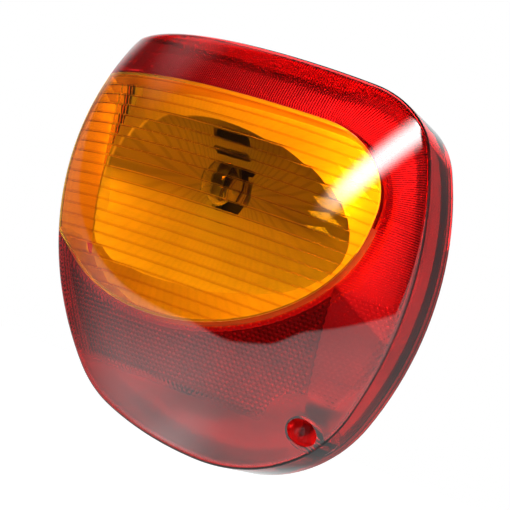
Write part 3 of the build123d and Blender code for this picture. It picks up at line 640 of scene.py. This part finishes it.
def flute_way(point):
    """Direction out of the flute or bead that a point inside the amber window lies on."""
    across = Vector((point.x - AXIS_X, point.y - REVOLVE_Y, 0))
    height = point.z - AXIS_Z
    foot = FLUTE_LOW + math.floor((height - FLUTE_LOW) / FLUTE_PITCH) * FLUTE_PITCH
    if height < foot + BEAD_WIDE:
        low, high, rise = foot, foot + BEAD_WIDE, BEAD_LOOK
    else:
        low, high, rise = foot + BEAD_WIDE, foot + FLUTE_PITCH, FLUTE_LOOK
    start, end = crown_mark(FLUTE_DEPTH, low), crown_mark(FLUTE_DEPTH, high)
    chord = end - start
    inward = Vector((-chord.y, chord.x)).normalized()
    radius = (chord.length_squared / 4 + rise**2) / (2 * rise)
    centre = (start + end) / 2 + inward * (rise - radius)
    way = (Vector((across.length, height)) - centre).normalized()
    return across.normalized() * way.x + Vector((0, 0, way.y))


# Pieces
def merged(node):
    """Mesh of a CAD node with its corners joined and its sharp edges marked."""
    mesh = nodes[node].data.copy()
    for name in ("custom_normal", "sharp_face"):
        if name in mesh.attributes:
            mesh.attributes.remove(mesh.attributes[name])
    shape = bmesh.new()
    shape.from_mesh(mesh)
    bmesh.ops.remove_doubles(shape, verts=shape.verts, dist=JOIN_DISTANCE)
    for face in shape.faces:
        face.smooth = True
    for edge in shape.edges:
        edge.smooth = edge.is_manifold and edge.calc_face_angle(0) < SHARP_ANGLE
    shape.to_mesh(mesh)
    shape.free()
    return mesh


def true_directions(mesh, depths, fluted=False):
    """Gives crown faces the directions of the form that they were meshed from, and flutes and beads the
    directions of curves with the rises FLUTE_LOOK and BEAD_LOOK.
    """
    directions = [corner.vector.copy() for corner in mesh.corner_normals]
    for face in mesh.polygons:
        middle = face.center
        inside = fluted and crown_at(middle)[0] > FLUTE_DEPTH - NEAR_FACE
        for corner in face.loop_indices:
            point = mesh.vertices[mesh.loops[corner].vertex_index].co
            depth, outward = crown_at(point)
            facing = face.normal.dot(outward)
            if inside and facing < -FLUTE_SQUARE and depth < FLUTE_DEPTH + BEAD_RISE + ON_FACE:
                nudged = point.lerp(middle, INTO_FACE)
                directions[corner] = flute_way(Vector((point.x, point.y, nudged.z)))
            elif abs(facing) > CROWN_SQUARE and any(abs(depth - d) < ON_FACE for d in depths):
                directions[corner] = outward if facing > 0 else -outward
    mesh.normals_split_custom_set(directions)


def show(name, mesh, node, finishes):
    """Object that stands for a CAD node and rides where it is."""
    piece = bpy.data.objects.new(name, mesh)
    bpy.context.scene.collection.objects.link(piece)
    mesh.materials.clear()
    for material in finishes:
        mesh.materials.append(material)
    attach(piece, "root")
    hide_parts(node)
    return piece


def on_low_border(point):
    """Whether a point lies at the low border of the window, clear of the outer end."""
    near = abs(window_ring(point.x, point.z) - 1) < COLLAR_RING
    return near and point.z < WINDOW_CENTRE[1] and point.x > COLLAR_LEFT


def make_red_lens():
    """Red lens, polished outside and ribbed inside round the window, with a frosted collar below it."""
    mesh = merged("red_lens")
    true_directions(mesh, (0, LENS_WALL))
    finishes = [RED, RED_RIBBED, RED_COLLAR]
    piece = show("red_lens_clear", mesh, "red_lens", finishes)
    for face in mesh.polygons:
        depth, outward = crown_at(face.center)
        facing = face.normal.dot(outward)
        if depth > LENS_WALL / 2 and facing < -INNER_SQUARE:
            face.material_index = finishes.index(RED_RIBBED)
        elif abs(facing) < WALL_SQUARE and on_low_border(face.center):
            face.material_index = finishes.index(RED_COLLAR)
    piece.visible_shadow = False


def make_amber_lens():
    """Amber window with its flutes and frosted walls."""
    mesh = merged("amber_lens")
    true_directions(mesh, (0, LENS_WALL), fluted=True)
    piece = show("amber_lens_clear", mesh, "amber_lens", [AMBER, AMBER_WALL])
    for face in mesh.polygons:
        outward = crown_at(face.center)[1]
        face.material_index = int(abs(face.normal.dot(outward)) < WALL_SQUARE)
    piece.visible_shadow = False


def make_reflex_plate():
    """Reflex plate whose front stands in close rows of six-sided pins."""
    mesh = merged("reflex_plate")
    plate = bmesh.new()
    plate.from_mesh(mesh)
    front = BVHTree.FromBMesh(plate)
    for vert in plate.verts:
        depth, outward = crown_at(vert.co)
        if depth < PLATE_FRONT + PLATE_THICK / 2:
            vert.co -= outward * PIN_HEIGHT
    row_step = PIN_PITCH * math.sqrt(3) / 2
    rows = int((PLATE_HIGH.z - PLATE_LOW.z) / row_step) + 1
    columns = int((PLATE_HIGH.x - PLATE_LOW.x) / PIN_PITCH) + 1
    for row in range(rows):
        for column in range(columns):
            x = PLATE_LOW.x + (column + 0.5 * (row % 2)) * PIN_PITCH
            z = PLATE_LOW.z + row * row_step
            add_pin(plate, front, x, z)
    plate.to_mesh(mesh)
    plate.free()
    show("reflex_plate_pins", mesh, "reflex_plate", [REFLEX])


def add_pin(plate, front, x, z):
    """Pin at x and z, if the whole of its foot lies on the plate."""
    ahead = FRONT_Y - PIN_PITCH
    inward = Vector((0, 1, 0))
    for turn in range(PIN_SIDES):
        angle = turn * 2 * math.pi / PIN_SIDES
        edge = Vector((x + PIN_RADIUS * math.cos(angle), ahead, z + PIN_RADIUS * math.sin(angle)))
        if front.ray_cast(edge, inward)[0] is None:
            return
    spot = front.ray_cast(Vector((x, ahead, z)), inward)[0]
    outward = crown_at(spot)[1]
    stand = outward.to_track_quat("Z", "X").to_matrix().to_4x4()
    stand.translation = spot - outward * PIN_HEIGHT / 2
    bmesh.ops.create_cone(
        plate,
        segments=PIN_SIDES,
        radius1=PIN_RADIUS,
        radius2=PIN_TIP,
        depth=PIN_HEIGHT,
        cap_ends=True,
        matrix=stand,
    )


def make_back_pieces():
    """Copies of the other nodes with smooth round faces, each in its finish."""
    for node, material in NODE_FINISHES.items():
        mesh = merged(node)
        if node.endswith("reflector"):
            true_directions(mesh, (BEZEL_DEPTH, BEZEL_DEPTH + TRAY_WALL))
        piece = show(node + "_piece", mesh, node, [material])
        piece.visible_shadow = material is not GLASS


# Studio
VIEW_BACK = Vector((
    math.sin(AZIMUTH) * math.cos(ELEVATION),
    -math.cos(AZIMUTH) * math.cos(ELEVATION),
    math.sin(ELEVATION),
))
VIEW_SIDE = Vector((math.cos(AZIMUTH), math.sin(AZIMUTH), 0))
VIEW_TOP = VIEW_BACK.cross(VIEW_SIDE)
ROLLED_SIDE = VIEW_SIDE * math.cos(ROLL) + VIEW_TOP * math.sin(ROLL)
ROLLED_TOP = VIEW_TOP * math.cos(ROLL) - VIEW_SIDE * math.sin(ROLL)
FLOOR_DROP = 0.12
FLOOR_HALF = 4.0


def turned(right, up, back, place):
    """Matrix of a thing with these axes at a place."""
    axes = Matrix((right, up, back)).transposed().to_4x4()
    return Matrix.Translation(place) @ axes


def make_camera():
    """Camera at the photo's angle, turned so that the lamp leans."""
    data = bpy.data.cameras.new("camera")
    data.lens = FOCAL_MM
    data.sensor_width = SENSOR_MM
    data.clip_end = 20
    camera = bpy.data.objects.new("camera", data)
    camera.matrix_world = turned(ROLLED_SIDE, ROLLED_TOP, VIEW_BACK, TARGET + VIEW_BACK * DISTANCE)
    bpy.context.scene.collection.objects.link(camera)
    bpy.context.scene.camera = camera


# Lamps: a tall one that the gloss mirrors, with its key light, and a fill from behind
STREAK_TOWARDS = Vector((0.51, -0.57, 0.64)).normalized()
STREAK_RISE = Vector((0.143, 0.58, 0.465)).normalized()
STREAK_DISTANCE = 1.2
STREAK_WIDE = 0.29
STREAK_TALL = 2.3
STREAK_LIFT = 0.38
STREAK_LEVEL = 26
KEY_WIDE = 0.24
KEY_TALL = 1.4
KEY_LEVEL = 22
FILL_TOWARDS = Vector((-0.25, 0.85, 0.46)).normalized()
FILL_DISTANCE = 1.3
FILL_SIZE = 0.9
FILL_LEVEL = 4.5


def softbox(name, towards, rise, distance, wide, tall, level):
    """Soft lamp in a direction from the lens, facing it, which lights but isn't mirrored."""
    data = bpy.data.lights.new(name, "AREA")
    data.shape = "RECTANGLE"
    data.size = wide
    data.size_y = tall
    data.energy = level * math.pi * wide * tall
    lamp = bpy.data.objects.new(name, data)
    side = rise.cross(towards).normalized()
    lamp.matrix_world = turned(side, towards.cross(side), towards, TARGET + towards * distance)
    lamp.visible_camera = False
    lamp.visible_glossy = False
    bpy.context.scene.collection.objects.link(lamp)


def make_streak_lamp():
    """Tall soft lamp that only gloss shows, which fades out towards its edges."""
    side = STREAK_RISE.cross(STREAK_TOWARDS).normalized()
    rise = STREAK_TOWARDS.cross(side)
    centre = TARGET + STREAK_TOWARDS * STREAK_DISTANCE + rise * STREAK_LIFT
    shape = bmesh.new()
    bmesh.ops.create_grid(shape, x_segments=1, y_segments=1, size=0.5)
    bmesh.ops.scale(shape, verts=shape.verts, vec=(STREAK_WIDE, STREAK_TALL, 1))
    bmesh.ops.transform(shape, verts=shape.verts, matrix=turned(side, rise, STREAK_TOWARDS, centre))
    mesh = bpy.data.meshes.new("streak_lamp")
    shape.to_mesh(mesh)
    shape.free()
    sheet = bpy.data.objects.new("streak_lamp", mesh)
    bpy.context.scene.collection.objects.link(sheet)
    material = bpy.data.materials.new("streak_lamp")
    material.use_nodes = True
    board = Board(material.node_tree)
    offset = board.vector_maths("SUBTRACT", board.place(), centre)
    across = board.along(offset, side).size() * (2 / STREAK_WIDE)
    upward = board.along(offset, rise).size() * (2 / STREAK_TALL)
    light = (1 - across.step(0.1, 1)) * (1 - upward.step(0.5, 1))
    colour = board.mix(light**1.6, rgb(0, 0, 0), rgb(1, 1, 1))
    board.end(board.add("ShaderNodeEmission", None, {"Color": colour, "Strength": STREAK_LEVEL}))
    mesh.materials.append(material)
    sheet.visible_camera = False
    sheet.visible_diffuse = False
    sheet.visible_shadow = False


def make_floor():
    """Plain pale floor below the lamp, which keeps its shadow."""
    shape = bmesh.new()
    bmesh.ops.create_grid(shape, x_segments=1, y_segments=1, size=FLOOR_HALF)
    bmesh.ops.translate(shape, verts=shape.verts, vec=(0, 0, cad_box[0][2] - FLOOR_DROP))
    mesh = bpy.data.meshes.new("floor")
    shape.to_mesh(mesh)
    shape.free()
    floor = bpy.data.objects.new("floor", mesh)
    bpy.context.scene.collection.objects.link(floor)
    material = bpy.data.materials.new("floor_paper")
    material.use_nodes = True
    board = Board(material.node_tree)
    seen = board.add("ShaderNodeLightPath", output="Is Camera Ray")
    paper = board.noise(60, 3)
    board.end(board.add("ShaderNodeBsdfPrincipled", None, {
        "Base Color": board.mix(paper, rgb(0.53, 0.53, 0.53), rgb(0.57, 0.57, 0.57)),
        "Roughness": 0.9,
        "Emission Color": board.mix(seen, rgb(0, 0, 0), rgb(0.90, 0.90, 0.90)),
        "Emission Strength": 1.0,
    }))
    mesh.materials.append(material)
    floor.visible_glossy = False


# Levels of what the lens mirrors, and the slant, height and dip of the table's far edge
ROOM_DARK = 0.03
SOFT_LEVEL = 0.2
CEILING_LEVEL = 0.5
TABLE_FAR = 0.45
TABLE_NEAR = 2.9
TABLE_TILT = 0.44
TABLE_EDGE = 0.09
TABLE_DIP = 0.07


def white_table(ahead, rise, side):
    """Level of the table that the lens mirrors, with a bent edge, brightest in front and at the left."""
    dip = side.step(-0.75, -0.45) * (1 - side.step(-0.25, 0.02))
    height = rise + TABLE_TILT * ahead + TABLE_DIP * dip
    level = TABLE_FAR + (TABLE_NEAR - TABLE_FAR) * ahead.step(-0.4, 0.2)
    level = level * (0.5 + 0.5 * (-rise).step(0, 0.5))
    left = 1 - side.step(-0.75, -0.4)
    level = level * (0.75 + 0.25 * left + 0.6 * left * (-rise).step(0.55, 0.72))
    return level * (1 - height.step(TABLE_EDGE, TABLE_EDGE + 0.03))


def make_world():
    """White room behind the lamp; the lens mirrors a dark side in front and a white table below."""
    world = bpy.data.worlds.new("room")
    world.use_nodes = True
    bpy.context.scene.world = world
    board = Board(world.node_tree)
    direction = board.add("ShaderNodeTexCoord", output="Generated")
    ahead, rise, side = (
        board.along(direction, way) for way in (VIEW_BACK, ROLLED_TOP, ROLLED_SIDE)
    )
    rays = board.add("ShaderNodeLightPath").socket.node
    camera_ray, glossy_ray, clear_ray = (
        Value(board, rays.outputs[name])
        for name in ("Is Camera Ray", "Is Glossy Ray", "Is Transmission Ray")
    )
    room = 1 - (1 - ROOM_DARK) * ahead.step(-0.98, -0.75)
    ceiling = CEILING_LEVEL * rise.step(0.6, 0.8) * (-ahead).step(0, 0.35)
    mirrored = room.most(ceiling).most(white_table(ahead, rise, side))
    level = SOFT_LEVEL + (room - SOFT_LEVEL) * clear_ray
    level = level + (mirrored - level) * glossy_ray
    level = level + (1 - level) * camera_ray
    background = board.add("ShaderNodeBackground", None, {"Color": rgb(1, 1, 1), "Strength": level})
    board.end(background, "ShaderNodeOutputWorld")


make_red_lens()
make_amber_lens()
make_reflex_plate()
make_back_pieces()
make_camera()
make_floor()
make_world()
make_streak_lamp()
softbox("key_softbox", STREAK_TOWARDS, STREAK_RISE, STREAK_DISTANCE, KEY_WIDE, KEY_TALL, KEY_LEVEL)
softbox("back_softbox", FILL_TOWARDS, VIEW_TOP, FILL_DISTANCE, FILL_SIZE, FILL_SIZE, FILL_LEVEL)
bpy.context.scene.view_settings.view_transform = "Standard"
